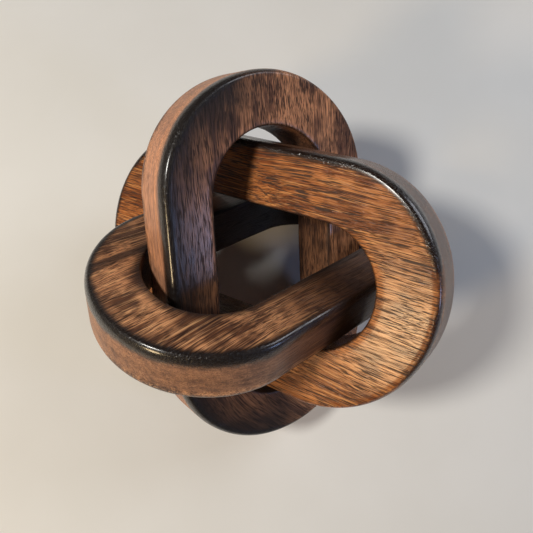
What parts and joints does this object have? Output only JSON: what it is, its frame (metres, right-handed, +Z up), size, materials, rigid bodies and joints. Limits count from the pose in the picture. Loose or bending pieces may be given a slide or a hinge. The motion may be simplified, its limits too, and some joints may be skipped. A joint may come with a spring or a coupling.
{
  "type": "wooden burr puzzle",
  "caption": "Interlocking wooden burr puzzle: flat oval rings with burnt edges pass through one another at right angles, and one ring pulls apart to free the rest.",
  "frame": {"origin": "on the table, under the middle of the object's box as it stands on the lower ends of its three rings", "axes": "+Z up; +Y to the back, where the rear ring's raised end points; +X to the right"},
  "size_m": [0.118, 0.125, 0.0859],
  "materials": {
    "rear_ring_wood": "satin waxed hardwood with dark pores and flame-burnt outer edges",
    "right_ring_wood": "satin waxed hardwood, orange-brown, with dark pores and flame-burnt outer edges",
    "key_ring_wood": "satin waxed hardwood with dark streaks and flame-burnt outer edges",
    "dowel_wood": "plain sanded beech"
  },
  "bodies": {
    "key_ring_base": {"key_ring_lower_half": "key_ring_wood", "inner_dowel": "dowel_wood", "outer_dowel": "dowel_wood"},
    "key_ring_top": {"key_ring_upper_half": "key_ring_wood"},
    "right_ring_body": {"right_ring": "right_ring_wood"},
    "rear_ring_body": {"rear_ring": "rear_ring_wood"}
  },
  "joints": [
    {"name": "key_ring_pull", "type": "slide", "parent": "key_ring_base", "child": "key_ring_top", "axis": [-0.7886, -0.4093, 0.4589], "range_m": [0, 0.06]},
    {"name": "right_ring_rock", "type": "hinge", "parent": "key_ring_base", "child": "right_ring_body", "pos_m": [0, 0, 0.04294], "axis": [0.7248, -0.6425, -0.2486], "range_deg": [0, 36]},
    {"name": "rear_ring_rock", "type": "hinge", "parent": "key_ring_base", "child": "rear_ring_body", "pos_m": [0, 0, 0.04294], "axis": [0.9437, 0.3266, -0.0521], "range_deg": [0, 34.41]}
  ],
  "couplings": [
    {"joint": "rear_ring_rock", "follows": "right_ring_rock", "ratio": 0.95562}
  ]
}
